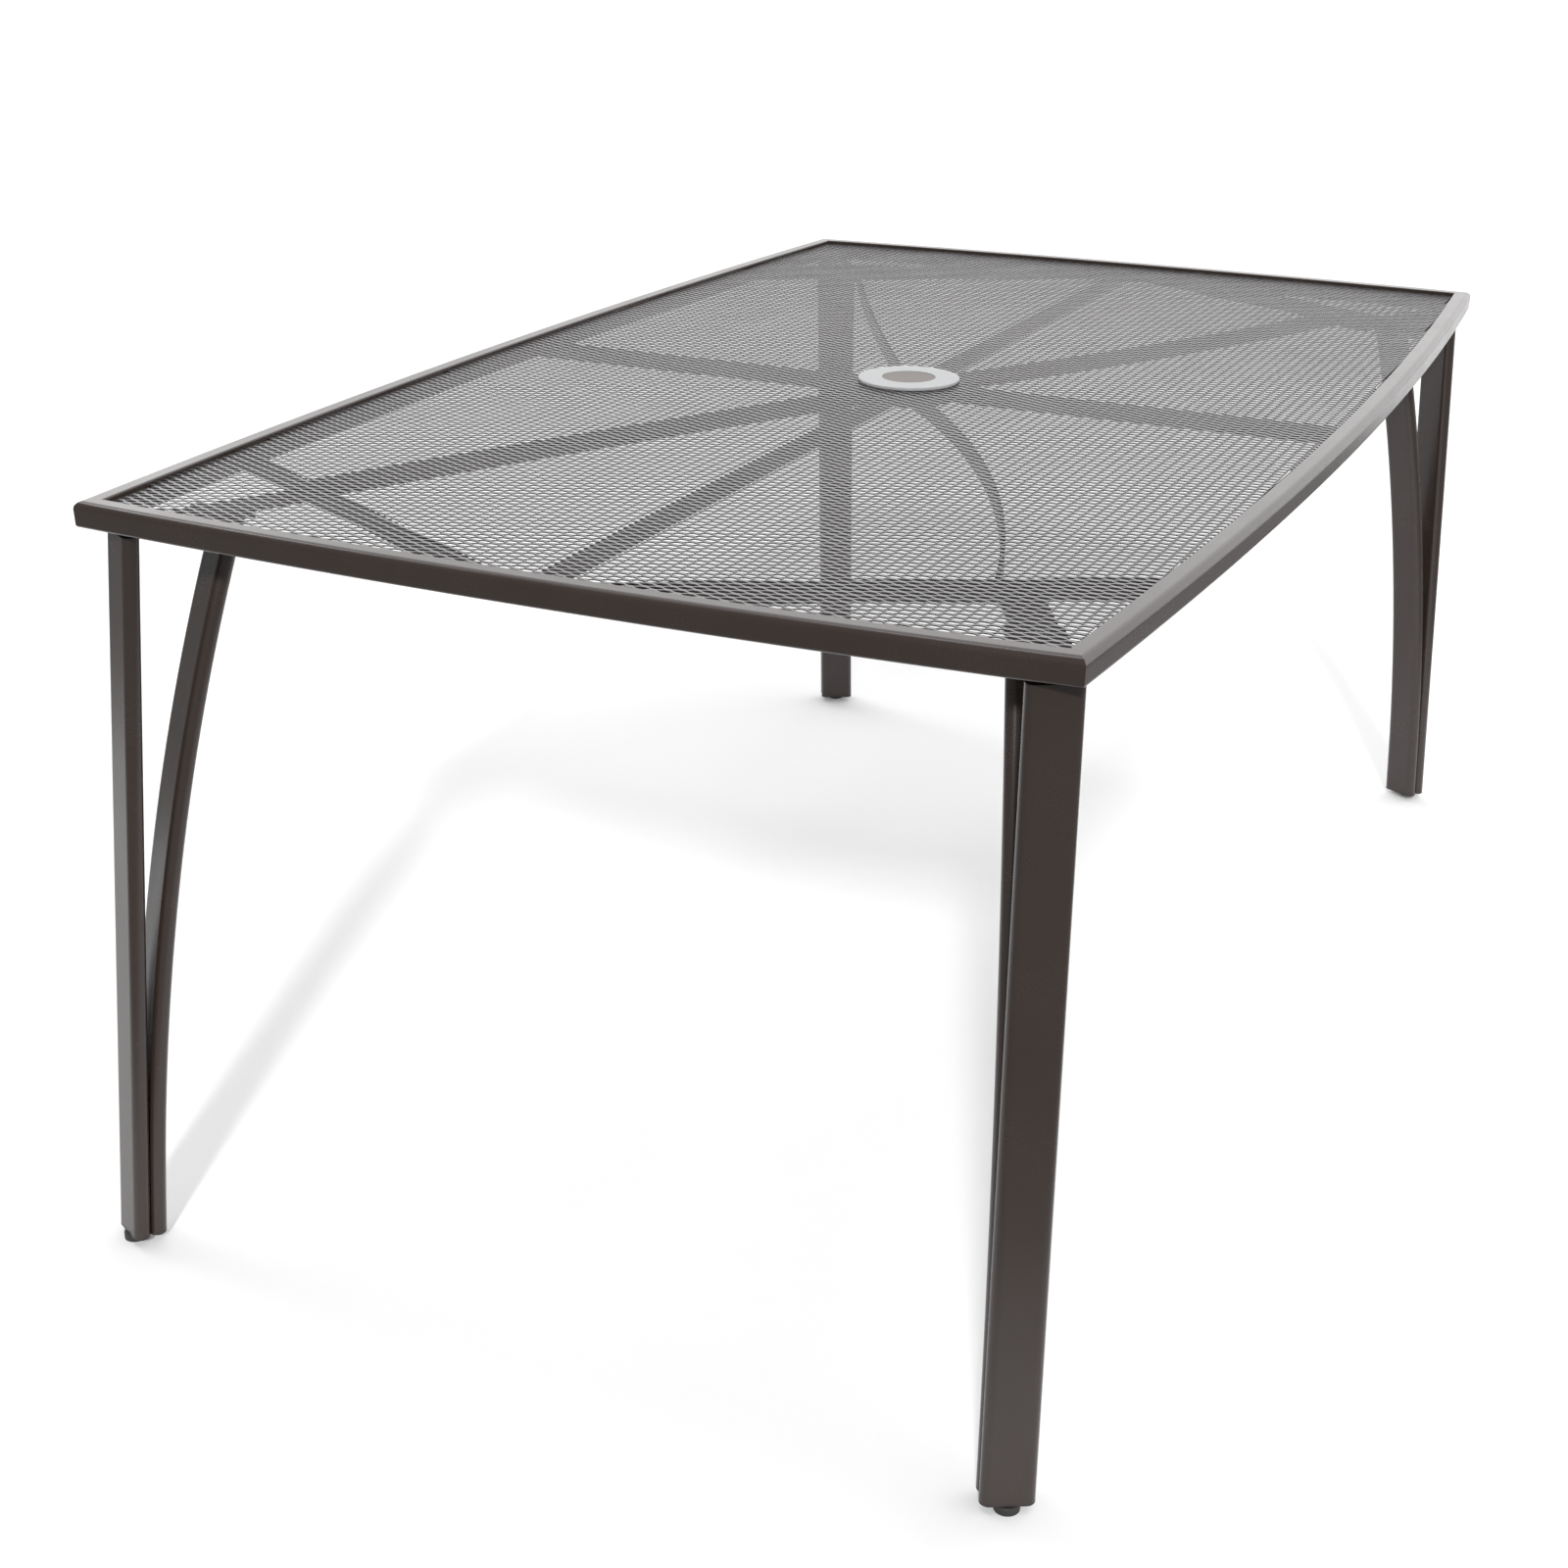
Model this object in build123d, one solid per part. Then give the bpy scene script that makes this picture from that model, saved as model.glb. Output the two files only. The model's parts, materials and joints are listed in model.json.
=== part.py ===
from build123d import *
import math
import os

# Overall top, millimetres
table_length = 1620.0
table_width = 980.0
table_height = 720.0
end_bow = 17.0
side_bow = 28.0

# Frame rails, a hollow section with a ledge on the inner side for the mesh
rail_height = 23.5
rail_top_width = 20.0
ledge_width = 6.0
rail_lean = 1.0
rail_top_round = 4.0
rail_low_round = 3.0
rail_edge_round = 1.5
rail_wall = 2.0

# Expanded mesh panel, its gaps drawn several pitches wide
mesh_recess = 3.5
mesh_thickness = 2.0
mesh_pitch_x = 9.6
mesh_pitch_y = 20.8
mesh_pitches_per_gap = 8
mesh_open_share = 0.84
mesh_border = 8.0
mesh_smallest_gap_share = 0.08

# Support bars on edge under the mesh
bar_thickness = 4.0
crossbar_thickness = 5.0
crossbar_setback = 166.7
corner_azimuth_deg = 28.0
diagonal_bows = {"near_left": 5.0, "near_right": 36.0, "far_right": 16.0, "far_left": 8.0}

# Hub, umbrella ring and hole plug at the centre
hub_outer_radius = 48.0
flange_radius = 55.0
flange_thickness = 3.0
flange_edge_round = 1.2
collar_radius = 33.0
collar_drop = 2.0
seat_radius = 28.9
seat_depth = 4.0
hole_radius = 26.5
hole_lip_height = 12.0
plug_bore_radius = 27.4
plug_play = 0.3
plug_top_drop = 0.3
plug_edge_round = 0.8
plug_skirt_wall = 2.0
plug_skirt_depth = 6.5

# Legs: a straight tube and a curved brace of the same flat-sided oval
leg_top_inset_x = 27.0
leg_top_inset_y = 31.0
leg_splay_x = 59.0
leg_splay_y = 12.0
leg_tube_width = 46.0
leg_tube_depth = 16.0
leg_tube_wall = 1.5
leg_tube_end_height = 9.0
brace_straight_height = 45.0
brace_low_bend_radius = 2700.0
brace_high_bend_radius = 2280.0
brace_low_bend_share = 0.5
brace_head_straight = 40.0

# Plates at the head of each leg
gusset_width = 38.0
gusset_thickness = 3.0
gusset_lap = 10.0
gusset_edge_inset = 14.0
head_plate_width = 48.0
head_plate_thickness = 4.0
head_plate_margin = 8.0
head_plate_edge_inset = 22.0

# Leg bolts with washers below and weld nuts above
bolt_radius = 4.0
bolt_hole_play = 0.3
bolt_across_flats = 13.0
bolt_head_height = 5.3
bolt_point = 1.5
bolt_inward_places = (32.0, 70.0)
washer_radius = 8.0
washer_thickness = 1.6
nut_height = 6.5
thread_play = 0.05

# Levelling feet, tube end plugs and their insert nuts
foot_radius = 11.0
foot_height = 7.0
foot_edge_round = 1.5
stud_radius = 3.0
stud_length = 23.0
stud_hole_play = 0.1
plug_stub_height = 18.0
insert_nut_across_flats = 10.0
insert_nut_height = 5.0
insert_nut_inset = 2.0
insert_nut_play = 0.1
insert_nut_turn_deg = 30.0

# Shared fits
seat_gap = 0.3
cut_overrun = 60.0

# Heights worked out from the sizes above
rail_bottom = table_height - rail_height
mesh_top = table_height - mesh_recess
mesh_bottom = mesh_top - mesh_thickness
gusset_bottom = rail_bottom - gusset_thickness
tube_top = gusset_bottom - head_plate_thickness

# Corner of the top and the arcs of its sides
corner_x = table_length / 2 - end_bow
corner_y = table_width / 2 - side_bow
end_radius = (corner_y**2 + end_bow**2) / (2 * end_bow)
side_radius = (corner_x**2 + side_bow**2) / (2 * side_bow)
end_turn = math.asin(corner_y / end_radius)
side_turn = math.asin(corner_x / side_radius)
mitre_deg = math.degrees(
    math.atan2(math.cos(end_turn) - math.sin(side_turn), math.cos(side_turn) - math.sin(end_turn))
)
end_centre = table_length / 2 - end_radius
side_centre = table_width / 2 - side_radius

# Directions and places of the leg in the far left quarter
outward = Vector(math.cos(math.radians(corner_azimuth_deg)), math.sin(math.radians(corner_azimuth_deg)), 0)
sideways = Vector(-outward.Y, outward.X, 0)
leg_top_x = corner_x - leg_top_inset_x
leg_top_y = corner_y - leg_top_inset_y
leg_foot_x = leg_top_x + leg_splay_x
leg_foot_y = leg_top_y + leg_splay_y
leg_head = Vector(leg_top_x, leg_top_y, rail_bottom)
leg_foot = Vector(leg_foot_x, leg_foot_y, leg_tube_end_height)
tube_up = (leg_head - leg_foot).normalized()
tube_out = (outward - tube_up * outward.dot(tube_up)).normalized()
head_along = leg_head.dot(outward)
head_across = leg_head.dot(sideways)
crossbar_reach = head_along - crossbar_setback
quarter = Rotation(0, 0, corner_azimuth_deg)

corners = ("near_left", "near_right", "far_right", "far_left")


def to_corner(shape, corner):
    """Carry a shape from the far left quarter to another quarter."""
    if corner == "near_left":
        return mirror(shape, about=Plane.YZ)
    if corner == "far_right":
        return mirror(shape, about=Plane.XZ)
    if corner == "near_right":
        return shape.rotate(Axis.Z, 180)
    return shape


def inside_top(inset):
    """Plan of the top, moved in from its four curved sides."""
    ends = Pos(end_centre, 0) * Circle(end_radius - inset) & Pos(-end_centre, 0) * Circle(end_radius - inset)
    sides = Pos(0, side_centre) * Circle(side_radius - inset) & Pos(0, -side_centre) * Circle(side_radius - inset)
    return ends & sides


def slab(plan, low, high):
    """Raise a plan between two heights."""
    return extrude(Pos(0, 0, low) * plan, high - low)


def rail(half_extent, arc_radius, corner_in, corner_along, mitre):
    """Hollow curved rail facing +X, with both ends mitred."""
    outer = half_extent
    inner = outer - rail_top_width
    ledge = inner - ledge_width
    low_outer = outer - rail_lean
    section = Polygon(
        (outer, table_height),
        (inner, table_height),
        (inner, mesh_bottom),
        (ledge, mesh_bottom),
        (ledge, rail_bottom),
        (low_outer, rail_bottom),
        align=None,
    )
    rounded = (
        (outer, table_height, rail_top_round),
        (low_outer, rail_bottom, rail_low_round),
        (inner, table_height, rail_edge_round),
        (ledge, mesh_bottom, rail_edge_round),
        (ledge, rail_bottom, rail_edge_round),
    )
    for x, y, radius in rounded:
        edge_corner = section.vertices().sort_by_distance((x, y, 0))[0]
        section = fillet(edge_corner, radius)
    hollow = offset(section, amount=-rail_wall, kind=Kind.INTERSECTION)
    tube = section - hollow
    centre = half_extent - arc_radius
    half_turn = math.degrees(math.asin((corner_along + cut_overrun) / arc_radius))
    arc_axis = Axis((centre, 0, 0), (0, 0, 1))
    curved = revolve(Plane.XZ * tube, arc_axis, 2 * half_turn)
    curved = curved.rotate(arc_axis, -half_turn)
    run_in = cut_overrun * math.cos(math.radians(mitre))
    run_along = cut_overrun * math.sin(math.radians(mitre))
    keep = Polygon(
        (corner_in + run_in, corner_along + run_along),
        (corner_in - run_in, corner_along - run_along),
        (corner_in - run_in, run_along - corner_along),
        (corner_in + run_in, -corner_along - run_along),
        align=None,
    )
    return curved & slab(keep, rail_bottom - cut_overrun, table_height + cut_overrun)


def mesh_gaps():
    """Diamond gaps in rows that step by half a pitch, cut off at the border and round the hub."""
    pitch_x = mesh_pitch_x * mesh_pitches_per_gap
    pitch_y = mesh_pitch_y * mesh_pitches_per_gap
    half_x = pitch_x * mesh_open_share / 2
    half_y = pitch_y * mesh_open_share / 2
    smallest = 2 * half_x * half_y * mesh_smallest_gap_share
    field = inside_top(rail_top_width + mesh_border) - Circle(hub_outer_radius + mesh_border)
    reach_x = int(table_length / pitch_x) + 1
    reach_y = int(table_width / pitch_y) + 1
    gaps = []
    for row in range(-reach_y, reach_y + 1):
        for column in range(-reach_x, reach_x + 1):
            if (row + column) % 2:
                continue
            x = column * pitch_x / 2
            y = row * pitch_y / 2
            tips = ((x + half_x, y), (x, y + half_y), (x - half_x, y), (x, y - half_y))
            gap = Polygon(*tips, align=None) & field
            gaps += [face.outer_wire() for face in gap.faces() if face.area > smallest]
    return gaps


def bar(start, stop, thickness):
    """Flat bar on edge along +X."""
    plan = Pos((start + stop) / 2, 0) * Rectangle(stop - start, thickness)
    return slab(plan, rail_bottom, mesh_bottom)


def diagonal_bar(bow):
    """Flat bar on edge from the hub to the crossbar, bowed to the long side."""
    start = hub_outer_radius + seat_gap
    stop = crossbar_reach - crossbar_thickness / 2 - seat_gap
    half = (stop - start) / 2
    radius = (half**2 + bow**2) / (2 * bow)
    band = Circle(radius + bar_thickness / 2) - Circle(radius - bar_thickness / 2)
    band = Pos(start + half, bow - radius) * band
    window = Pos(stop / 2, 0) * Rectangle(stop, 2 * (bow + cut_overrun))
    plan = (band & window) - Circle(start)
    return quarter * slab(plan, rail_bottom, mesh_bottom)


def crossbar():
    """Flat bar on edge across a corner, from the short rail to the long rail."""
    plan = quarter * Pos(crossbar_reach, 0) * Rectangle(crossbar_thickness, table_width)
    plan = plan & inside_top(rail_top_width + ledge_width + seat_gap)
    return slab(plan, rail_bottom, mesh_bottom)


def bolt_places():
    """Plan places of the two bolts of a leg, in the quarter frame."""
    return [(head_along - inward, head_across) for inward in bolt_inward_places]


def drilled(plate):
    """Take the two bolt holes out of a plate."""
    for x, y in bolt_places():
        hole = Pos(x, y) * Circle(bolt_radius + bolt_hole_play)
        plate = plate - quarter * slab(hole, tube_top - cut_overrun, rail_bottom + cut_overrun)
    return plate


def plate(start, stop, width, inset, low, high):
    """Drilled corner plate trimmed to the curved sides of the top."""
    plan = Pos((start + stop) / 2, head_across) * Rectangle(stop - start, width)
    whole = quarter * slab(plan, low, high)
    return drilled(whole & slab(inside_top(inset), low, high))


def leg_section(shrink):
    """Flat-sided oval across the tube, moved in from the outside."""
    return SlotOverall(leg_tube_width - 2 * shrink, leg_tube_depth - 2 * shrink, rotation=90)


def level_cut(shape, low, high):
    """Keep what lies between two heights."""
    middle = Pos(leg_foot_x, leg_foot_y, (low + high) / 2)
    return shape & middle * Box(table_length, table_width, high - low)


leg_frame = Plane(origin=leg_foot, x_dir=tube_out, z_dir=tube_up)
brace_offset = leg_tube_depth + seat_gap
tube_run = rail_bottom + cut_overrun
bend_rise = rail_bottom - leg_tube_end_height - brace_straight_height - brace_head_straight
low_rise = bend_rise * brace_low_bend_share
low_turn = math.asin(low_rise / brace_low_bend_radius)
head_turn = math.asin(math.sin(low_turn) + (bend_rise - low_rise) / brace_high_bend_radius)


def straight_run(section):
    """A section drawn out along the straight tube."""
    return leg_frame * extrude(Pos(0, 0, -cut_overrun) * section, tube_run + cut_overrun)


def bend_axis(radius):
    """Axis of a bend that begins where the brace leaves the tube."""
    return Axis((-brace_offset - radius, 0, brace_straight_height), (0, -1, 0))


def brace_run(section):
    """A section drawn up beside the tube, round a slack and a tighter bend and on to a straight head."""
    low_axis = bend_axis(brace_low_bend_radius)
    high_axis = bend_axis(brace_high_bend_radius)
    low_deg = math.degrees(low_turn)
    high_deg = math.degrees(head_turn - low_turn)
    start = Pos(-brace_offset, 0, brace_straight_height) * section
    straight = extrude(Pos(-brace_offset, 0, -cut_overrun) * section, brace_straight_height + cut_overrun)
    low_bend = revolve(start, low_axis, low_deg)
    high_bend = revolve(start, high_axis, high_deg).rotate(low_axis, low_deg)
    head = extrude(start, brace_head_straight + cut_overrun)
    head = head.rotate(high_axis, high_deg).rotate(low_axis, low_deg)
    return leg_frame * (straight + low_bend + high_bend + head)


def end_plug(run, section_shrink):
    """Cap under a tube end with a stub that fills the tube's bore."""
    cap = level_cut(run(leg_section(0)), foot_height + seat_gap, leg_tube_end_height)
    stub_section = leg_section(section_shrink)
    stub = level_cut(run(stub_section), leg_tube_end_height, leg_tube_end_height + plug_stub_height)
    return cap + stub


def hexagon(across_flats, low, high):
    """Upright hexagonal block on the axis."""
    plan = RegularPolygon(across_flats / 2, 6, major_radius=False)
    return slab(plan, low, high)


def rod(radius, low, high):
    """Upright round block on the axis."""
    return slab(Circle(radius), low, high)


# Rails
nodes = {}
end_rail = rail(table_length / 2, end_radius, corner_x, corner_y, mitre_deg)
side_rail = rail(table_width / 2, side_radius, corner_y, corner_x, 90 - mitre_deg)
nodes["rail_short_far"] = end_rail
nodes["rail_short_near"] = end_rail.rotate(Axis.Z, 180)
nodes["rail_long_left"] = side_rail.rotate(Axis.Z, 90)
nodes["rail_long_right"] = side_rail.rotate(Axis.Z, -90)

# Mesh panel with the hole for the ring's collar
outline = inside_top(rail_top_width + seat_gap).faces()[0]
collar_hole = Circle(collar_radius + seat_gap).wire()
gap_wires = mesh_gaps()
print("mesh gaps", len(gap_wires))
panel = Face(outline.outer_wire(), [collar_hole] + gap_wires)
nodes["mesh_panel"] = extrude(Pos(0, 0, mesh_bottom) * panel, mesh_thickness, dir=(0, 0, 1))

# Hub, ring and plug
nodes["umbrella_hub"] = rod(hub_outer_radius, rail_bottom, mesh_bottom) - rod(
    collar_radius + seat_gap, rail_bottom, mesh_bottom
)
ring_top = mesh_top + flange_thickness
flange = rod(flange_radius, mesh_top, ring_top)
flange = fillet(flange.edges().group_by(Axis.Z)[-1], flange_edge_round)
collar_bottom = rail_bottom - collar_drop
ring = flange + rod(collar_radius, collar_bottom, mesh_top)
ring = ring - rod(hole_radius, collar_bottom - cut_overrun, ring_top + cut_overrun)
ring = ring - rod(plug_bore_radius, collar_bottom + hole_lip_height, ring_top)
nodes["umbrella_ring"] = ring - rod(seat_radius, ring_top - seat_depth, ring_top + cut_overrun)
plug_bottom = ring_top - seat_depth + plug_play
plug_disc = rod(seat_radius - plug_play, plug_bottom, ring_top - plug_top_drop)
plug_disc = fillet(plug_disc.edges().group_by(Axis.Z)[-1], plug_edge_round)
skirt_radius = plug_bore_radius - plug_play
skirt = rod(skirt_radius, plug_bottom - plug_skirt_depth, plug_bottom)
skirt = skirt - rod(skirt_radius - plug_skirt_wall, plug_bottom - plug_skirt_depth, plug_bottom)
nodes["hole_plug"] = plug_disc + skirt

# Straight bars from the hub to the middle of each rail
bar_start = hub_outer_radius + seat_gap
rail_inner = rail_top_width + ledge_width + seat_gap
end_bar = bar(bar_start, table_length / 2 - rail_inner, bar_thickness)
side_bar = bar(bar_start, table_width / 2 - rail_inner, bar_thickness)
nodes["middle_bar_far"] = end_bar
nodes["middle_bar_near"] = end_bar.rotate(Axis.Z, 180)
nodes["middle_bar_left"] = side_bar.rotate(Axis.Z, 90)
nodes["middle_bar_right"] = side_bar.rotate(Axis.Z, -90)

# Pieces of one corner, drawn in the far left quarter
low_lean = brace_low_bend_radius * (1 - math.cos(low_turn))
high_lean = brace_high_bend_radius * (math.cos(low_turn) - math.cos(head_turn))
brace_lean = low_lean + high_lean + brace_head_straight * math.tan(head_turn)
head_inner = head_along - brace_offset - brace_lean - leg_tube_depth / 2 - head_plate_margin
head_outer = head_along + leg_tube_depth / 2 + head_plate_margin
corner_crossbar = crossbar()
corner_gusset = plate(
    crossbar_reach - gusset_lap, head_outer, gusset_width, gusset_edge_inset, gusset_bottom, rail_bottom
)
head_plate = plate(
    head_inner, head_outer, head_plate_width, head_plate_edge_inset, tube_top, gusset_bottom
)
tube_profile = leg_section(0) - leg_section(leg_tube_wall)
leg_tube = level_cut(straight_run(tube_profile), leg_tube_end_height, tube_top)
leg_brace = level_cut(brace_run(tube_profile), leg_tube_end_height, tube_top)

# Levelling foot, its insert nut and the two end plugs
foot_place = Pos(leg_foot_x, leg_foot_y, 0)
foot_pad = rod(foot_radius, 0, foot_height)
foot_pad = fillet(foot_pad.edges().group_by(Axis.Z)[-1], foot_edge_round)
stud_top = foot_height + stud_length
levelling_foot = foot_place * (foot_pad + rod(stud_radius, foot_height, stud_top))
nut_low = leg_tube_end_height + insert_nut_inset
nut_high = nut_low + insert_nut_height
nut_turn = Rotation(0, 0, corner_azimuth_deg + insert_nut_turn_deg)
nut_solid = hexagon(insert_nut_across_flats, nut_low, nut_high)
insert_nut = foot_place * nut_turn * (nut_solid - rod(stud_radius + thread_play, nut_low, nut_high))
pocket_flats = insert_nut_across_flats + 2 * insert_nut_play
pocket = hexagon(pocket_flats, nut_low - insert_nut_play, nut_high + insert_nut_play)
stud_hole = rod(stud_radius + stud_hole_play, 0, stud_top)
plug_shrink = leg_tube_wall + seat_gap
tube_plug = end_plug(straight_run, plug_shrink) - foot_place * nut_turn * (pocket + stud_hole)
brace_plug = end_plug(brace_run, plug_shrink)

for corner in corners:
    bowed = diagonal_bar(diagonal_bows[corner])
    nodes["diagonal_bar_" + corner] = to_corner(bowed, corner)
    nodes["crossbar_" + corner] = to_corner(corner_crossbar, corner)
    nodes["corner_gusset_" + corner] = to_corner(corner_gusset, corner)
    nodes["leg_head_plate_" + corner] = to_corner(head_plate, corner)
    nodes["leg_tube_" + corner] = to_corner(leg_tube, corner)
    nodes["leg_brace_" + corner] = to_corner(leg_brace, corner)
    nodes["tube_end_plug_" + corner] = to_corner(tube_plug, corner)
    nodes["brace_end_plug_" + corner] = to_corner(brace_plug, corner)
    nodes["levelling_foot_" + corner] = to_corner(levelling_foot, corner)

# Bolts, washers and nuts, each kind as one group of separate solids
washer_bottom = tube_top - washer_thickness
bolt_head_bottom = washer_bottom - bolt_head_height
nut_top = rail_bottom + nut_height
bolt_head = hexagon(bolt_across_flats, bolt_head_bottom, washer_bottom)
bolt = bolt_head + rod(bolt_radius, washer_bottom, nut_top + bolt_point)
washer_ring = rod(washer_radius, washer_bottom, tube_top)
washer = washer_ring - rod(bolt_radius + bolt_hole_play, washer_bottom, tube_top)
weld_nut = hexagon(bolt_across_flats, rail_bottom, nut_top)
weld_nut = weld_nut - rod(bolt_radius + thread_play, rail_bottom, nut_top)
fasteners = {"leg_bolts": bolt, "leg_bolt_washers": washer, "weld_nuts": weld_nut}
for name, piece in fasteners.items():
    solids = []
    for corner in corners:
        for x, y in bolt_places():
            solids.append(to_corner(quarter * Pos(x, y) * piece, corner).solid())
    nodes[name] = Compound(children=solids)
nodes["foot_insert_nuts"] = Compound(children=[to_corner(insert_nut, corner).solid() for corner in corners])

os.makedirs("parts", exist_ok=True)
for name, shape in nodes.items():
    export_step(shape, "parts/" + name + ".step")
    print(name, len(shape.solids()), round(shape.volume))
print("nodes", len(nodes))
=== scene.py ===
import json
import math
import bpy
import bmesh
from mathutils import Euler, Matrix, Vector


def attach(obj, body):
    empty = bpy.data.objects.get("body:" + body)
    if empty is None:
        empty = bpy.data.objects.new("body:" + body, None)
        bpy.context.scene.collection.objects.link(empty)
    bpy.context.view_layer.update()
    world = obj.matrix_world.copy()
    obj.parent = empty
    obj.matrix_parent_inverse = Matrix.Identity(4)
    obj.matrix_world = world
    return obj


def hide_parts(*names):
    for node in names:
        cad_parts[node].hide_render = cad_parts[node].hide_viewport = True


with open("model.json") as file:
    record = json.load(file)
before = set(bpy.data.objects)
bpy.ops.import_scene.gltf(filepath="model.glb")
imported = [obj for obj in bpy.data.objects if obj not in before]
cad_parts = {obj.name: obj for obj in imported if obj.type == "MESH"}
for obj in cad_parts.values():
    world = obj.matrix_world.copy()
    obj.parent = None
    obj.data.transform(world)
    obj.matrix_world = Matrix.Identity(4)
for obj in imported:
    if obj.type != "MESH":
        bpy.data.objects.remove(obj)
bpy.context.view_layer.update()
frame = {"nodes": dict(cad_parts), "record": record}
nodes = frame["nodes"]
print("stage: frame loaded,", len(nodes), "nodes")


# small helpers for node trees
def addNode(tree, kind, **settings):
    node = tree.nodes.new(kind)
    for key, value in settings.items():
        setattr(node, key, value)
    return node


def addSocket(tree, name, direction, kind, default=None):
    socket = tree.interface.new_socket(name=name, in_out=direction, socket_type=kind)
    if default is not None:
        socket.default_value = default
    return socket


def mathNode(tree, operation, first, second=None):
    node = addNode(tree, "ShaderNodeMath", operation=operation)
    for slot, value in enumerate((first, second)):
        if value is None:
            continue
        if isinstance(value, (int, float)):
            node.inputs[slot].default_value = value
        else:
            tree.links.new(value, node.inputs[slot])
    return node.outputs[0]


def vectorNode(tree, operation, first, second=None, scale=None):
    node = addNode(tree, "ShaderNodeVectorMath", operation=operation)
    tree.links.new(first, node.inputs[0])
    if second is not None:
        tree.links.new(second, node.inputs[1])
    if scale is not None:
        tree.links.new(scale, node.inputs["Scale"])
    return node.outputs["Value"] if operation == "LENGTH" else node.outputs["Vector"]


# shared effect: sprayed coat, with fine grain, soft mottling and a slightly uneven sheen
coat = {"grainDetail": 3, "cloudScale": 14, "cloudDetail": 4, "grainShare": 0.8, "toneSwing": 2.0,
        "sheenSwing": 0.12, "bumpDepth": 0.0002}


def makeCoatGrain(values):
    tree = bpy.data.node_groups.new("coatGrain", "ShaderNodeTree")
    addSocket(tree, "Tone", "INPUT", "NodeSocketColor", (0.1, 0.1, 0.1, 1))
    addSocket(tree, "Grain Scale", "INPUT", "NodeSocketFloat", 900.0)
    addSocket(tree, "Mottle", "INPUT", "NodeSocketFloat", 0.08)
    addSocket(tree, "Sheen", "INPUT", "NodeSocketFloat", 0.4)
    addSocket(tree, "Bump", "INPUT", "NodeSocketFloat", 0.1)
    addSocket(tree, "Color", "OUTPUT", "NodeSocketColor")
    addSocket(tree, "Roughness", "OUTPUT", "NodeSocketFloat")
    addSocket(tree, "Normal", "OUTPUT", "NodeSocketVector")
    given = addNode(tree, "NodeGroupInput")
    result = addNode(tree, "NodeGroupOutput")
    coords = addNode(tree, "ShaderNodeTexCoord")
    grain = addNode(tree, "ShaderNodeTexNoise")
    grain.inputs["Detail"].default_value = values["grainDetail"]
    cloud = addNode(tree, "ShaderNodeTexNoise")
    cloud.inputs["Scale"].default_value = values["cloudScale"]
    cloud.inputs["Detail"].default_value = values["cloudDetail"]
    link = tree.links.new
    link(coords.outputs["Object"], grain.inputs["Vector"])
    link(coords.outputs["Object"], cloud.inputs["Vector"])
    link(given.outputs["Grain Scale"], grain.inputs["Scale"])
    cloudShift = mathNode(tree, "SUBTRACT", cloud.outputs["Fac"], 0.5)
    grainShift = mathNode(tree, "SUBTRACT", grain.outputs["Fac"], 0.5)
    both = mathNode(tree, "ADD", cloudShift, mathNode(tree, "MULTIPLY", grainShift, values["grainShare"]))
    swing = mathNode(tree, "MULTIPLY", both, values["toneSwing"])
    gain = mathNode(tree, "ADD", 1.0, mathNode(tree, "MULTIPLY", swing, given.outputs["Mottle"]))
    tinted = vectorNode(tree, "SCALE", given.outputs["Tone"], scale=gain)
    unevenness = mathNode(tree, "MULTIPLY", both, values["sheenSwing"])
    rough = mathNode(tree, "ADD", given.outputs["Sheen"], unevenness)
    bump = addNode(tree, "ShaderNodeBump")
    bump.inputs["Distance"].default_value = values["bumpDepth"]
    link(given.outputs["Bump"], bump.inputs["Strength"])
    link(grain.outputs["Fac"], bump.inputs["Height"])
    link(tinted, result.inputs["Color"])
    link(rough, result.inputs["Roughness"])
    link(bump.outputs["Normal"], result.inputs["Normal"])
    return tree


coatGrain = makeCoatGrain(coat)


def makeFinish(name, values):
    material = bpy.data.materials.new(name)
    material.use_nodes = True
    tree = material.node_tree
    shader = tree.nodes["Principled BSDF"]
    grain = addNode(tree, "ShaderNodeGroup", node_tree=coatGrain)
    grain.inputs["Tone"].default_value = (*values["tone"], 1)
    grain.inputs["Grain Scale"].default_value = values["grainScale"]
    grain.inputs["Mottle"].default_value = values["mottle"]
    grain.inputs["Sheen"].default_value = values["sheen"]
    grain.inputs["Bump"].default_value = values["bump"]
    for output, target in (("Color", "Base Color"), ("Roughness", "Roughness"), ("Normal", "Normal")):
        tree.links.new(grain.outputs[output], shader.inputs[target])
    shader.inputs["Metallic"].default_value = values.get("metallic", 0.0)
    shader.inputs["Specular Tint"].default_value = (*values.get("specularTint", (1, 1, 1)), 1)
    material.diffuse_color = (*values["tone"], 1)
    return material


finishes = {
    "frameCoating": {"tone": (0.034, 0.0245, 0.020), "specularTint": (0.97, 0.96, 1.0), "grainScale": 1100,
                     "mottle": 0.10, "sheen": 0.25, "bump": 0.12},
    "meshCoating": {"tone": (0.055, 0.050, 0.052), "specularTint": (0.95, 0.95, 1.0), "grainScale": 900,
                    "mottle": 0.12, "sheen": 0.24, "bump": 0.05},
    "ringPlastic": {"tone": (0.345, 0.35, 0.355), "grainScale": 1600, "mottle": 0.04, "sheen": 0.5,
                    "bump": 0.06},
    "plugPlastic": {"tone": (0.13, 0.112, 0.101), "grainScale": 1600, "mottle": 0.05, "sheen": 0.55,
                    "bump": 0.06},
    "footPlastic": {"tone": (0.022, 0.018, 0.017), "grainScale": 1500, "mottle": 0.10, "sheen": 0.55,
                    "bump": 0.1},
    "zincSteel": {"tone": (0.5, 0.5, 0.49), "grainScale": 700, "mottle": 0.15, "sheen": 0.38, "bump": 0.08,
                  "metallic": 1.0},
}
finish = {name: makeFinish(name, values) for name, values in finishes.items()}
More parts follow.
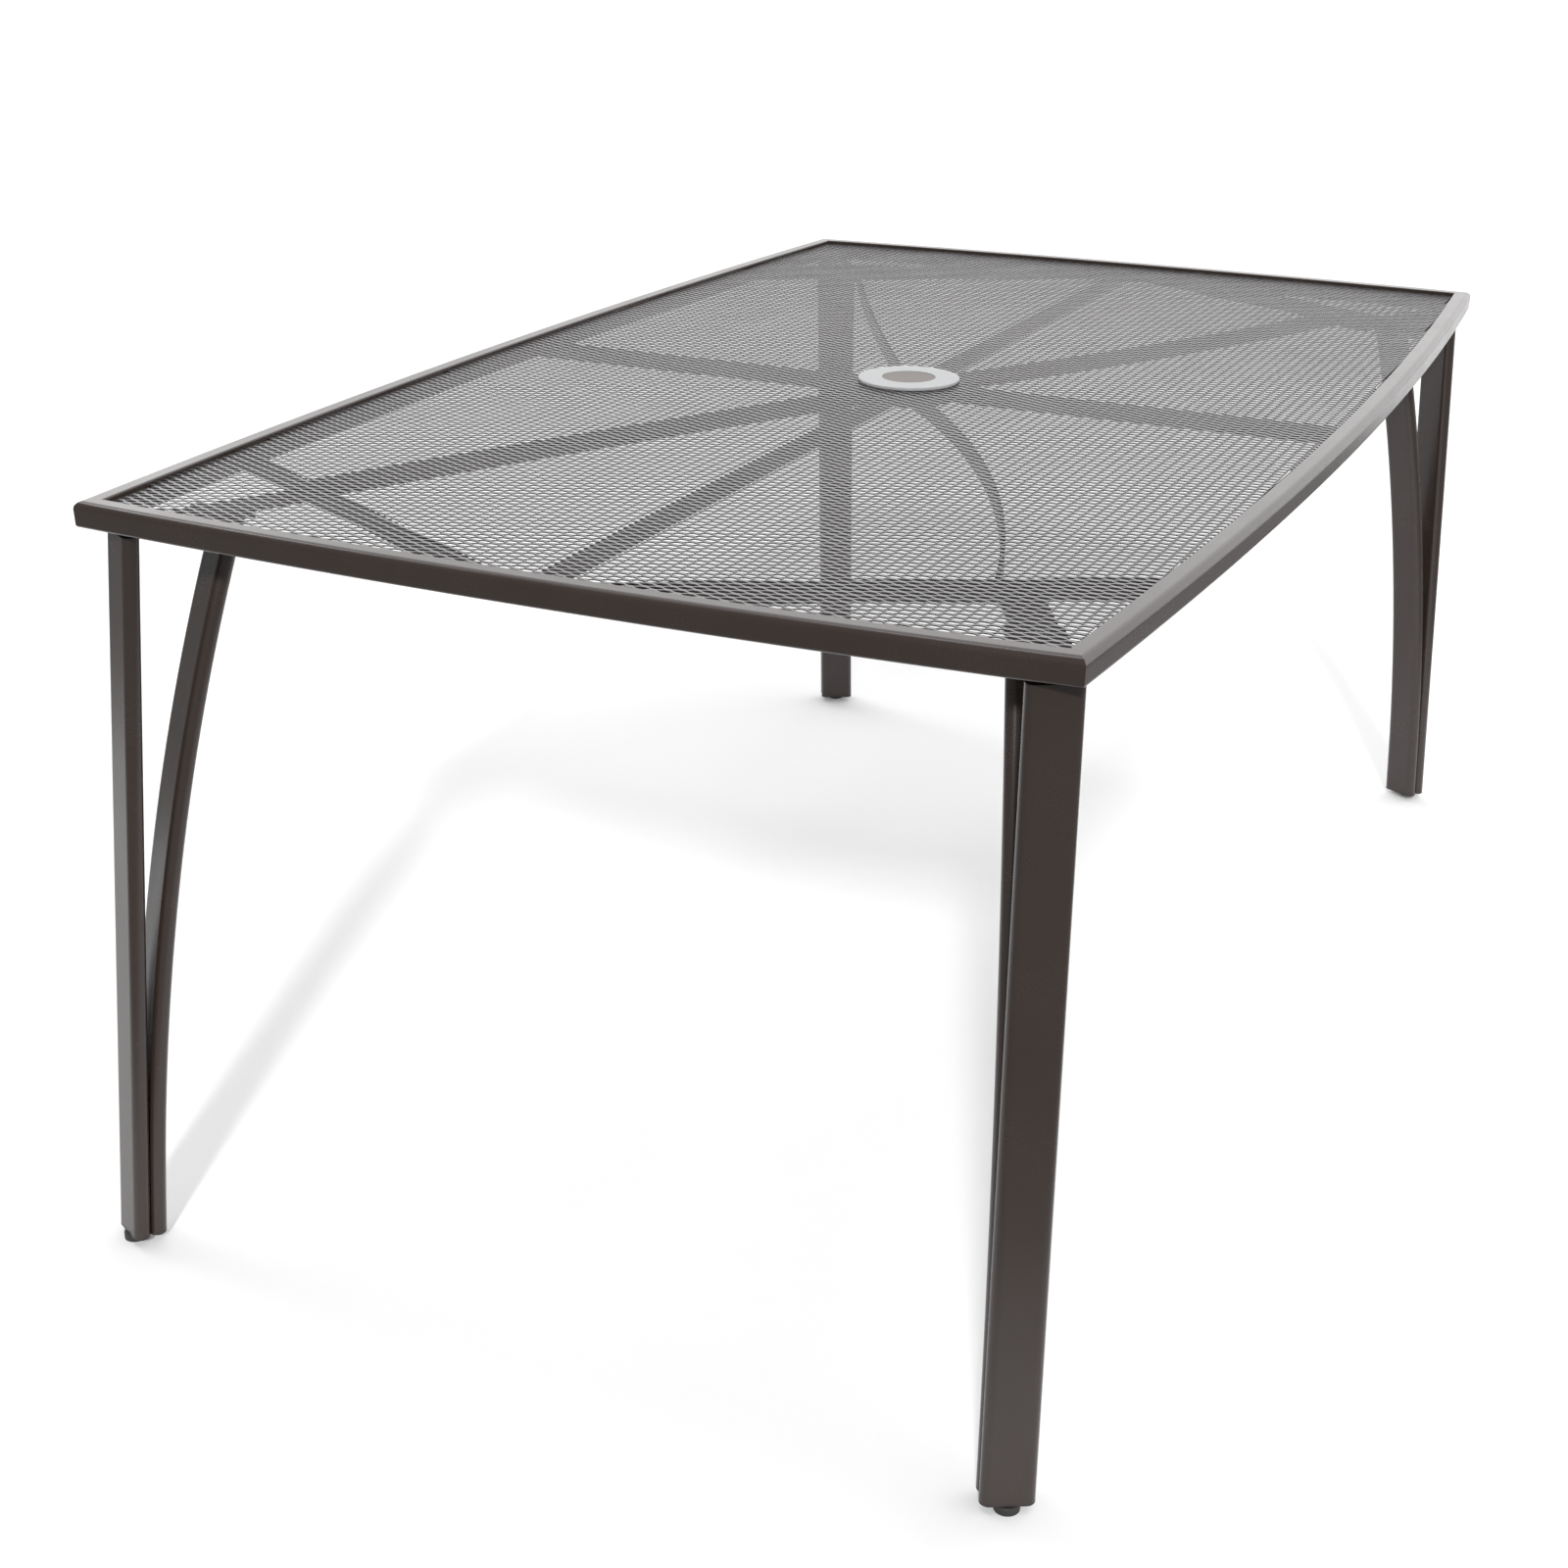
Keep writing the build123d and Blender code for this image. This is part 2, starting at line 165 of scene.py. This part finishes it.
slotFinish = {"frame_coating": "frameCoating", "mesh_coating": "meshCoating", "ring_plastic": "ringPlastic",
              "plug_plastic": "plugPlastic", "foot_plastic": "footPlastic", "zinc_steel": "zincSteel"}
for part in frame["record"]["subparts"]:
    piece = nodes[part["node"]]
    material = finish[slotFinish[part["material_slot"]]]
    if not piece.material_slots:
        piece.data.materials.append(material)
    for slot in piece.material_slots:
        slot.material = material
print("stage: finishes on the frame")

# expanded mesh panel
panel = {
    "diamondWidth": 0.0096,      # short way, along X
    "diamondLength": 0.0208,     # long way, along Y
    "strandWidth": 0.00235,
    "bondLength": 0.0055,        # where two strands stay joined
    "sheet": 0.001,
    "slope": -0.045,             # twist of the strands out of the sheet
    "middleHeight": 0.7158,
    "topLength": 1.62,           # outside of the rails, at the middle of each side
    "topWidth": 0.98,
    "endBow": 0.017,
    "sideBow": 0.028,
    "railWidth": 0.020,
    "edgePlay": 0.0003,
    "centreHole": 0.040,
    "seamShare": 0.125,          # of a diamond, by which the quarters' seams lie off the middle
    "spareBonds": 3,             # in each row, past the rails, an odd number
    "weldReach": 0.00001,
}


def arcRadius(halfChord, bow):
    return (halfChord ** 2 + bow ** 2) / (2 * bow)


def makeBond(values):
    # two joined strands and their four half arms
    width, length = values["diamondWidth"], values["diamondLength"]
    strand, half = values["strandWidth"], values["bondLength"] / 2
    slope, lift = values["slope"], values["sheet"] / 2
    run = Vector((width / 4 - strand / 2, length / 4 - half))
    across = strand * run.length / run.y
    mesh = bpy.data.meshes.new("bond")
    build = bmesh.new()

    def corner(x, y, base):
        return [build.verts.new((x, y, base + lift)), build.verts.new((x, y, base - lift))]

    ends = {}
    for side in (1, -1):
        ends[side] = [corner(x, side * half, slope * x) for x in (-strand, 0, strand)]
    for side in (1, -1):
        for hand in (1, -1):
            middle = hand * width / 4
            inner = corner(middle - hand * across / 2, side * length / 4, -hand * slope * across / 2)
            outer = corner(middle + hand * across / 2, side * length / 4, hand * slope * across / 2)
            root, rim = ends[side][1], ends[side][1 + hand]
            build.faces.new((root[0], rim[0], outer[0], inner[0]))
            build.faces.new((root[1], rim[1], outer[1], inner[1]))
            build.faces.new((rim[0], rim[1], outer[1], outer[0]))
            build.faces.new((root[0], root[1], inner[1], inner[0]))
    far, near = ends[1], ends[-1]
    for left in (0, 1):
        for level in (0, 1):
            right = left + 1
            build.faces.new((far[left][level], far[right][level], near[right][level], near[left][level]))
    for edge in (0, 2):
        build.faces.new((far[edge][0], far[edge][1], near[edge][1], near[edge][0]))
    bmesh.ops.recalc_face_normals(build, faces=build.faces)
    build.to_mesh(mesh)
    build.free()
    return bpy.data.objects.new("bond", mesh)


def makePanelTree():
    tree = bpy.data.node_groups.new("expandedMesh", "GeometryNodeTree")
    addSocket(tree, "Geometry", "INPUT", "NodeSocketGeometry")
    addSocket(tree, "Bond", "INPUT", "NodeSocketObject")
    addSocket(tree, "Coat", "INPUT", "NodeSocketMaterial")
    for name in ("Diamond Width", "Diamond Length", "Height", "Half Length", "Half Width", "End Radius",
                 "Side Radius", "Edge Play", "Centre Hole", "End Side", "Long Side"):
        addSocket(tree, name, "INPUT", "NodeSocketFloat", 1.0)
    addSocket(tree, "Columns", "INPUT", "NodeSocketInt", 10)
    addSocket(tree, "Rows", "INPUT", "NodeSocketInt", 10)
    addSocket(tree, "Geometry", "OUTPUT", "NodeSocketGeometry")
    given = addNode(tree, "NodeGroupInput").outputs
    result = addNode(tree, "NodeGroupOutput")
    link = tree.links.new

    # two grids, the second one half a diamond on
    join = addNode(tree, "GeometryNodeJoinGeometry")
    for share in (0.0, 0.5):
        grid = addNode(tree, "GeometryNodeMeshGrid")
        for axis, step, number in (("X", "Diamond Width", "Columns"), ("Y", "Diamond Length", "Rows")):
            steps = mathNode(tree, "SUBTRACT", given[number], 1.0)
            link(mathNode(tree, "MULTIPLY", given[step], steps), grid.inputs["Size " + axis])
            link(given[number], grid.inputs["Vertices " + axis])
        place = addNode(tree, "ShaderNodeCombineXYZ")
        link(mathNode(tree, "MULTIPLY", given["Diamond Width"], share), place.inputs["X"])
        link(mathNode(tree, "MULTIPLY", given["Diamond Length"], share), place.inputs["Y"])
        link(given["Height"], place.inputs["Z"])
        move = addNode(tree, "GeometryNodeSetPosition")
        link(grid.outputs["Mesh"], move.inputs["Geometry"])
        link(place.outputs[0], move.inputs["Offset"])
        link(move.outputs[0], join.inputs[0])

    # distance of a point from the centre of an arc on this quarter's side
    def arcReach(point, alongX):
        split = addNode(tree, "ShaderNodeSeparateXYZ")
        link(point, split.inputs[0])
        half = given["Half Length"] if alongX else given["Half Width"]
        radius = given["End Radius"] if alongX else given["Side Radius"]
        side = given["End Side"] if alongX else given["Long Side"]
        centre = addNode(tree, "ShaderNodeCombineXYZ")
        inwards = mathNode(tree, "SUBTRACT", half, radius)
        link(mathNode(tree, "MULTIPLY", side, inwards), centre.inputs["X" if alongX else "Y"])
        link(split.outputs["Z"], centre.inputs["Z"])
        spoke = vectorNode(tree, "SUBTRACT", point, centre.outputs[0])
        limit = mathNode(tree, "SUBTRACT", radius, given["Edge Play"])
        return centre.outputs[0], spoke, vectorNode(tree, "LENGTH", spoke), limit

    position = addNode(tree, "GeometryNodeInputPosition").outputs[0]
    split = addNode(tree, "ShaderNodeSeparateXYZ")
    link(position, split.inputs[0])
    flat = addNode(tree, "ShaderNodeCombineXYZ")
    link(split.outputs["X"], flat.inputs["X"])
    link(split.outputs["Y"], flat.inputs["Y"])
    drops = [mathNode(tree, "LESS_THAN", vectorNode(tree, "LENGTH", flat.outputs[0]), given["Centre Hole"])]
    for axis, side, step in (("X", "End Side", "Diamond Width"), ("Y", "Long Side", "Diamond Length")):
        nudge = mathNode(tree, "MULTIPLY", given[step], panel["seamShare"])
        nudged = mathNode(tree, "ADD", split.outputs[axis], nudge)
        drops.append(mathNode(tree, "LESS_THAN", mathNode(tree, "MULTIPLY", nudged, given[side]), 0.0))
    for alongX in (True, False):
        _, _, reach, limit = arcReach(position, alongX)
        drops.append(mathNode(tree, "GREATER_THAN", reach, limit))
    anyDrop = drops[0]
    for drop in drops[1:]:
        anyDrop = mathNode(tree, "MAXIMUM", anyDrop, drop)
    delete = addNode(tree, "GeometryNodeDeleteGeometry", domain="POINT")
    link(join.outputs[0], delete.inputs["Geometry"])
    link(anyDrop, delete.inputs["Selection"])

    bond = addNode(tree, "GeometryNodeObjectInfo")
    link(given["Bond"], bond.inputs["Object"])
    spread = addNode(tree, "GeometryNodeInstanceOnPoints")
    link(delete.outputs[0], spread.inputs["Points"])
    link(bond.outputs["Geometry"], spread.inputs["Instance"])
    real = addNode(tree, "GeometryNodeRealizeInstances")
    link(spread.outputs[0], real.inputs[0])

    # the outer strands end at the rails
    shape = real.outputs[0]
    for alongX in (True, False):
        here = addNode(tree, "GeometryNodeInputPosition").outputs[0]
        centre, spoke, reach, limit = arcReach(here, alongX)
        pull = mathNode(tree, "MINIMUM", mathNode(tree, "DIVIDE", limit, reach), 1.0)
        ended = vectorNode(tree, "ADD", centre, vectorNode(tree, "SCALE", spoke, scale=pull))
        trim = addNode(tree, "GeometryNodeSetPosition")
        link(shape, trim.inputs["Geometry"])
        link(ended, trim.inputs["Position"])
        shape = trim.outputs[0]
    weld = addNode(tree, "GeometryNodeMergeByDistance")
    weld.inputs["Distance"].default_value = panel["weldReach"]
    link(shape, weld.inputs["Geometry"])
    again = addNode(tree, "GeometryNodeRealizeInstances")
    link(weld.outputs[0], again.inputs[0])
    coated = addNode(tree, "GeometryNodeSetMaterial")
    link(again.outputs[0], coated.inputs["Geometry"])
    link(given["Coat"], coated.inputs["Material"])
    link(coated.outputs[0], result.inputs[0])
    return tree


panelTree = makePanelTree()
bondObject = makeBond(panel)
bondObject.hide_render = True
bpy.context.scene.collection.objects.link(bondObject)


def makeQuarter(name, endSide, longSide):
    holder = bpy.data.objects.new(name + "Holder", bpy.data.meshes.new(name + "Holder"))
    bpy.context.scene.collection.objects.link(holder)
    modifier = holder.modifiers.new("expandedMesh", "NODES")
    modifier.node_group = panelTree
    sockets = panelTree.interface.items_tree
    inputs = {item.name: item.identifier for item in sockets if item.in_out == "INPUT"}
    inset = panel["railWidth"]
    halfLength, halfWidth = panel["topLength"] / 2 - inset, panel["topWidth"] / 2 - inset
    endRadius = arcRadius(panel["topWidth"] / 2 - panel["sideBow"], panel["endBow"]) - inset
    sideRadius = arcRadius(panel["topLength"] / 2 - panel["endBow"], panel["sideBow"]) - inset
    values = {
        "Bond": bondObject, "Coat": finish["meshCoating"],
        "Diamond Width": panel["diamondWidth"], "Diamond Length": panel["diamondLength"],
        "Height": panel["middleHeight"], "Half Length": halfLength, "Half Width": halfWidth,
        "End Radius": endRadius, "Side Radius": sideRadius,
        "Edge Play": panel["edgePlay"], "Centre Hole": panel["centreHole"],
        "End Side": float(endSide), "Long Side": float(longSide),
        "Columns": 2 * int(halfLength / panel["diamondWidth"]) + panel["spareBonds"],
        "Rows": 2 * int(halfWidth / panel["diamondLength"]) + panel["spareBonds"],
    }
    for label, value in values.items():
        modifier[inputs[label]] = value
    bpy.context.view_layer.update()
    evaluated = holder.evaluated_get(bpy.context.evaluated_depsgraph_get())
    mesh = bpy.data.meshes.new_from_object(evaluated)
    mesh.name = name
    holder.modifiers.remove(modifier)
    bpy.data.objects.remove(holder)
    piece = bpy.data.objects.new(name, mesh)
    bpy.context.scene.collection.objects.link(piece)
    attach(piece, "table")
    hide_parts("mesh_panel")
    print("stage:", name, len(mesh.polygons), "faces")
    return piece


for quarterName, endSide, longSide in (("meshFarLeft", 1, 1), ("meshNearLeft", -1, 1),
                                       ("meshNearRight", -1, -1), ("meshFarRight", 1, -1)):
    makeQuarter(quarterName, endSide, longSide)
bpy.data.objects.remove(bondObject)

# frame rails and legs with finer roundings than the frame's own meshes
rails = {
    "height": 0.0235,
    "ledge": 0.006,              # inside, under the mesh
    "lean": 0.001,               # of the outer face, inwards at its foot
    "topRound": 0.007,           # outer edge, softer than in the frame
    "lowRound": 0.003,
    "edgeRound": 0.0015,
    "meshBottom": 0.7145,
    "top": 0.72,
    "mitrePlay": 0.00004,
    "support": 0.0004,           # flat strip beside each rounding
    "sharpDeg": 35.0,
    "roundSteps": 8,
    "arcSteps": 36,
    "cornerSteps": 12,           # rounds of the search for a corner
}


def roundedProfile(corners, steps, support):
    # outline through the corners, each with its own radius, with support points beside each rounding
    points = []
    for index, (x, y, radius) in enumerate(corners):
        here = Vector((x, y))
        before = (Vector(corners[index - 1][:2]) - here).normalized()
        after = (Vector(corners[(index + 1) % len(corners)][:2]) - here).normalized()
        if radius == 0:
            points.append(here)
            continue
        half = before.angle(after) / 2
        reach = radius / math.tan(half)
        centre = here + (before + after).normalized() * radius / math.sin(half)
        start = here + before * reach - centre
        turn = start.angle_signed(here + after * reach - centre)
        points.append(here + before * (reach + support))
        for step in range(steps + 1):
            angle = -turn * step / steps
            points.append(centre + Vector((start.x * math.cos(angle) - start.y * math.sin(angle),
                                           start.x * math.sin(angle) + start.y * math.cos(angle))))
        points.append(here + after * (reach + support))
    return points


def makeSweep(name, rings, replaced, material):
    # closed body through rings of equal length, each ring a closed outline
    count = len(rings[0])
    mesh = bpy.data.meshes.new(name)
    faces = [tuple(reversed(range(count))), tuple((len(rings) - 1) * count + i for i in range(count))]
    for ring in range(len(rings) - 1):
        for i in range(count):
            j = (i + 1) % count
            low, high = ring * count, (ring + 1) * count
            faces.append((low + i, low + j, high + j, high + i))
    mesh.from_pydata([point for ring in rings for point in ring], [], faces)
    build = bmesh.new()
    build.from_mesh(mesh)
    bmesh.ops.recalc_face_normals(build, faces=build.faces)
    build.to_mesh(mesh)
    build.free()
    mesh.polygons.foreach_set("use_smooth", [True] * len(mesh.polygons))
    mesh.set_sharp_from_angle(angle=math.radians(rails["sharpDeg"]))
    mesh.materials.append(finish[material])
    piece = bpy.data.objects.new(name, mesh)
    bpy.context.scene.collection.objects.link(piece)
    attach(piece, "table")
    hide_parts(replaced)
    return piece


def arcCorner(inset):
    # where the arcs of the end and the long side meet, both moved in by the inset
    endRadius = arcRadius(panel["topWidth"] / 2 - panel["sideBow"], panel["endBow"])
    sideRadius = arcRadius(panel["topLength"] / 2 - panel["endBow"], panel["sideBow"])
    endCentre, sideCentre = panel["topLength"] / 2 - endRadius, panel["topWidth"] / 2 - sideRadius
    x, y = panel["topLength"] / 2, panel["topWidth"] / 2
    for _ in range(rails["cornerSteps"]):
        x = endCentre + math.sqrt((endRadius - inset) ** 2 - y ** 2)
        y = sideCentre + math.sqrt((sideRadius - inset) ** 2 - x ** 2)
    return x, y, endRadius - inset, sideRadius - inset, endCentre, sideCentre


def makeRail(name, long, turn, replaced):
    values = rails
    bottom, inner = values["top"] - values["height"], panel["railWidth"]
    corners = (
        (0.0, values["top"], values["topRound"]),
        (values["lean"], bottom, values["lowRound"]),
        (inner + values["ledge"], bottom, values["edgeRound"]),
        (inner + values["ledge"], values["meshBottom"], values["edgeRound"]),
        (inner, values["meshBottom"], 0),
        (inner, values["top"], values["edgeRound"]),
    )
    profile = roundedProfile(corners, values["roundSteps"], values["support"])
    rings = []
    for step in range(values["arcSteps"] + 1):
        share = 2 * step / values["arcSteps"] - 1
        ring = []
        for inset, height in profile:
            x, y, endRadius, sideRadius, endCentre, sideCentre = arcCorner(inset)
            along, radius, centre = (x, sideRadius, sideCentre) if long else (y, endRadius, endCentre)
            angle = share * math.asin((along - values["mitrePlay"]) / radius)
            point = Vector((centre + radius * math.cos(angle), radius * math.sin(angle), height))
            ring.append(Matrix.Rotation(math.radians(turn), 3, "Z") @ point)
        rings.append(ring)
    return makeSweep(name, rings, replaced, "frameCoating")


for railName, long, turn, replaced in (
    ("railFar", False, 0, "rail_short_far"),
    ("railNear", False, 180, "rail_short_near"),
    ("railLeft", True, 90, "rail_long_left"),
    ("railRight", True, -90, "rail_long_right"),
):
    makeRail(railName, long, turn, replaced)
print("stage: rails")

legs = {
    "topInset": (0.027, 0.031),  # of the tube's head from the corner of the top
    "splay": (0.059, 0.012),     # of its foot, outwards from its head
    "width": 0.046,
    "depth": 0.016,
    "low": 0.009,                # heights of the tube's two ends
    "high": 0.6895,
    "bendStart": 0.045,
    "lowBend": 2.7,              # radius of the brace's slack bend, then of the tighter one
    "highBend": 2.28,
    "lowBendShare": 0.5,
    "headStraight": 0.04,
    "gap": 0.0003,
    "azimuthDeg": 28.0,
    "endSteps": 8,
    "endRoundShare": 0.999,      # of half the depth
    "bendSteps": 14,
}


def makeLeg(corner, signX, signY, braced):
    values = legs
    cornerX, cornerY = panel["topLength"] / 2 - panel["endBow"], panel["topWidth"] / 2 - panel["sideBow"]
    insetX, insetY = values["topInset"]
    head = Vector((cornerX - insetX, cornerY - insetY, rails["top"] - rails["height"]))
    foot = Vector((head.x + values["splay"][0], head.y + values["splay"][1], values["low"]))
    azimuth = math.radians(values["azimuthDeg"])
    outward = Vector((math.cos(azimuth), math.sin(azimuth), 0))
    up = (head - foot).normalized()
    out = (outward - up * outward.dot(up)).normalized()
    across = up.cross(out)
    halfDepth, halfWidth = values["depth"] / 2, values["width"] / 2
    endRound = halfDepth * values["endRoundShare"]
    corners = [(a * halfDepth, b * halfWidth, endRound) for a, b in ((1, 1), (1, -1), (-1, -1), (-1, 1))]
    outline = roundedProfile(corners, values["endSteps"], 0)
    # middle lines of the sections, with the directions ahead and aside
    place = foot - out * (values["depth"] + values["gap"]) if braced else foot
    sections = [(place, up, out)]
    if braced:
        sections.append((place + up * values["bendStart"], up, out))
        bendRise = head.z - values["low"] - values["bendStart"] - values["headStraight"]
        lowRise = bendRise * values["lowBendShare"]
        lowTurn = math.asin(lowRise / values["lowBend"])
        headTurn = math.asin(math.sin(lowTurn) + (bendRise - lowRise) / values["highBend"])
        for radius, turn in ((values["lowBend"], lowTurn), (values["highBend"], headTurn - lowTurn)):
            place, ahead, aside = sections[-1]
            for step in range(1, values["bendSteps"] + 1):
                angle = turn * step / values["bendSteps"]
                turned = aside * math.cos(angle) + ahead * math.sin(angle)
                sections.append((place + (turned - aside) * radius, turned.cross(across), turned))
    sections.append(sections[-1])
    rings = []
    for index, (place, ahead, aside) in enumerate(sections):
        ring = []
        for deep, wide in outline:
            point = place + aside * deep + across * wide
            if index in (0, len(sections) - 1):
                level = values["high"] if index else values["low"]
                point = point + ahead * ((level - point.z) / ahead.z)
            ring.append((point.x * signX, point.y * signY, point.z))
        rings.append(ring)
    kind = "Brace" if braced else "Tube"
    name = "leg" + kind + corner.title().replace("_", "")
    return makeSweep(name, rings, f"leg_{kind.lower()}_{corner}", "frameCoating")


for corner, signX, signY in (("near_left", -1, 1), ("near_right", -1, -1), ("far_right", 1, -1),
                             ("far_left", 1, 1)):
    makeLeg(corner, signX, signY, False)
    makeLeg(corner, signX, signY, True)
print("stage: legs")

# floor, light and camera
room = {
    "floorSize": 60.0,
    "floorRoughness": 0.9,
    "floorShine": 0.1,
    "seenTone": 0.85,            # tone and glow of the floor where the camera sees it
    "seenGlow": 0.1,
    "glowStrength": 1.1,
    "paintedPoolMiddle": (0.0, 0.6, 0.0),    # painted pool of light on the floor round the table's feet, seen only by other surfaces
    "paintedPoolHalf": (0.81, 1.1, 0.0),
    # tone and soft edge of the painted pool of light
    "paintedPoolTone": 0.88,
    "paintedPoolEdge": (0.1, 0.75),
    "paintedShadeTone": 0.24,            # painted shade: dark floor round the pool of light, seen only by other surfaces
    "paintedFarLightTone": 0.95,             # painted light on the floor beyond the table, seen only by other surfaces
    "paintedFarLightEdge": (2.2, 3.3),
    "brightWay": (1.0, -0.3, 0.35),
    "turnAt": -0.25,
    "dim": 0.3,
    "bright": 1.85,
    # panes of light: way towards it, soft edge, glow
    "panes": (((0.5, 0.85, 0.2), (0.91, 0.965), 1.2), ((0.15, 0.66, 0.73), (0.989, 0.997), 6.5),
              ((0.1, 0.24, 0.96), (0.989, 0.997), 6.5)),
}


def toneRamp(tree, value, edge, first, last):
    ramp = addNode(tree, "ShaderNodeMapRange", interpolation_type="SMOOTHSTEP")
    for label, setting in zip(("From Min", "From Max", "To Min", "To Max"), (*edge, first, last)):
        ramp.inputs[label].default_value = setting
    tree.links.new(value, ramp.inputs["Value"])
    return ramp.outputs["Result"]


def makeFloor(values):
    half = values["floorSize"] / 2
    mesh = bpy.data.meshes.new("floor")
    corners = [(-half, -half, 0), (half, -half, 0), (half, half, 0), (-half, half, 0)]
    mesh.from_pydata(corners, [], [(0, 1, 2, 3)])
    floor = bpy.data.objects.new("floor", mesh)
    bpy.context.scene.collection.objects.link(floor)
    material = bpy.data.materials.new("paleFloor")
    material.use_nodes = True
    tree = material.node_tree
    shader = tree.nodes["Principled BSDF"]
    shader.inputs["Roughness"].default_value = values["floorRoughness"]
    shader.inputs["Specular IOR Level"].default_value = values["floorShine"]
    path = addNode(tree, "ShaderNodeLightPath")
    # as other surfaces see it, the floor carries a painted pool of light near the table, painted shade
    # round it and painted light far beyond it
    coords = addNode(tree, "ShaderNodeTexCoord")
    split = addNode(tree, "ShaderNodeSeparateXYZ")
    tree.links.new(coords.outputs["Object"], split.inputs[0])
    beside = addNode(tree, "ShaderNodeVectorMath", operation="SUBTRACT")
    centred = addNode(tree, "ShaderNodeVectorMath", operation="SUBTRACT")
    tree.links.new(coords.outputs["Object"], centred.inputs[0])
    centred.inputs[1].default_value = values["paintedPoolMiddle"]
    tree.links.new(vectorNode(tree, "ABSOLUTE", centred.outputs[0]), beside.inputs[0])
    beside.inputs[1].default_value = values["paintedPoolHalf"]
    outside = addNode(tree, "ShaderNodeVectorMath", operation="MAXIMUM")
    tree.links.new(beside.outputs[0], outside.inputs[0])
    away = vectorNode(tree, "LENGTH", outside.outputs[0])
    # painted pool of light round the feet, fading to painted shade
    poolAndShadeRamp = toneRamp(tree, away, values["paintedPoolEdge"], values["paintedPoolTone"], values["paintedShadeTone"])
    # painted light on the floor far beyond the table
    farLightRamp = toneRamp(tree, split.outputs["X"], values["paintedFarLightEdge"], 0.0, values["paintedFarLightTone"])
    paintedLightTone = mathNode(tree, "MAXIMUM", poolAndShadeRamp, farLightRamp)
    # camera rays see the even seen tone, all other rays the painted light and shade
    tone = addNode(tree, "ShaderNodeMix", data_type="FLOAT")
    tree.links.new(path.outputs["Is Camera Ray"], tone.inputs[0])
    tree.links.new(paintedLightTone, tone.inputs[2])
    tone.inputs[3].default_value = values["seenTone"]
    tree.links.new(tone.outputs[0], shader.inputs["Base Color"])
    glow = addNode(tree, "ShaderNodeEmission")
    glow.inputs["Color"].default_value = (1, 1, 1, 1)
    glow.inputs["Strength"].default_value = values["glowStrength"]
    blend = addNode(tree, "ShaderNodeMixShader")
    seen = mathNode(tree, "MULTIPLY", path.outputs["Is Camera Ray"], values["seenGlow"])
    tree.links.new(seen, blend.inputs[0])
    tree.links.new(shader.outputs[0], blend.inputs[1])
    tree.links.new(glow.outputs[0], blend.inputs[2])
    tree.links.new(blend.outputs[0], tree.nodes["Material Output"].inputs["Surface"])
    mesh.materials.append(material)
    return floor


def makeRoomLight(values):
    # a pale room, brighter beyond the table than on the camera's side
    world = bpy.data.worlds.new("paleRoom")
    bpy.context.scene.world = world
    world.use_nodes = True
    tree = world.node_tree
    background = tree.nodes["Background"]
    background.inputs["Color"].default_value = (1, 1, 1, 1)
    coords = addNode(tree, "ShaderNodeTexCoord")
    glows = []
    wide = (values["brightWay"], (values["turnAt"], 1.0), values["dim"], values["bright"])
    for toward, edge, low, high in (wide, *((way, edge, 0.0, glow) for way, edge, glow in values["panes"])):
        way = addNode(tree, "ShaderNodeVectorMath", operation="DOT_PRODUCT")
        tree.links.new(coords.outputs["Generated"], way.inputs[0])
        way.inputs[1].default_value = Vector(toward).normalized()
        glows.append(toneRamp(tree, way.outputs["Value"], edge, low, high))
    path = addNode(tree, "ShaderNodeLightPath")
    strength = addNode(tree, "ShaderNodeMix", data_type="FLOAT")
    strength.inputs[3].default_value = 1.0
    tree.links.new(path.outputs["Is Camera Ray"], strength.inputs[0])
    total = glows[0]
    for glow in glows[1:]:
        total = mathNode(tree, "ADD", total, glow)
    tree.links.new(total, strength.inputs[2])
    tree.links.new(strength.outputs[0], background.inputs["Strength"])


makeFloor(room)
makeRoomLight(room)

# one soft lamp behind the camera casts the shadow away from it
lamp = {
    "strength": 2.3,
    "spreadDeg": 5.0,
    "shadowShift": (1.07, 0.41),    # of a point at the height below
    "shadowOf": 0.72,
}
lampData = bpy.data.lights.new("softLamp", "SUN")
lampData.energy = lamp["strength"]
lampData.angle = math.radians(lamp["spreadDeg"])
lampObject = bpy.data.objects.new("softLamp", lampData)
lampWay = Vector((*lamp["shadowShift"], -lamp["shadowOf"]))
lampObject.rotation_euler = lampWay.to_track_quat("-Z", "Y").to_euler()
bpy.context.scene.collection.objects.link(lampObject)

# the photo's camera, as the table's corners and feet give it
view = {
    "place": (-2.29092, -0.92484, 1.27059),
    "turnDeg": (70.3848, -0.3949, -64.7888),
    "lens": 53.1397,
    "sensor": 36.0,
    "shiftY": -0.07855,
}
cameraData = bpy.data.cameras.new("camera")
cameraData.lens = view["lens"]
cameraData.sensor_width = view["sensor"]
cameraData.shift_y = view["shiftY"]
camera = bpy.data.objects.new("camera", cameraData)
camera.location = view["place"]
camera.rotation_euler = Euler([math.radians(a) for a in view["turnDeg"]], "XYZ")
bpy.context.scene.collection.objects.link(camera)
bpy.context.scene.camera = camera
bpy.context.scene.view_settings.view_transform = "Standard"
print("stage: room, light and camera")
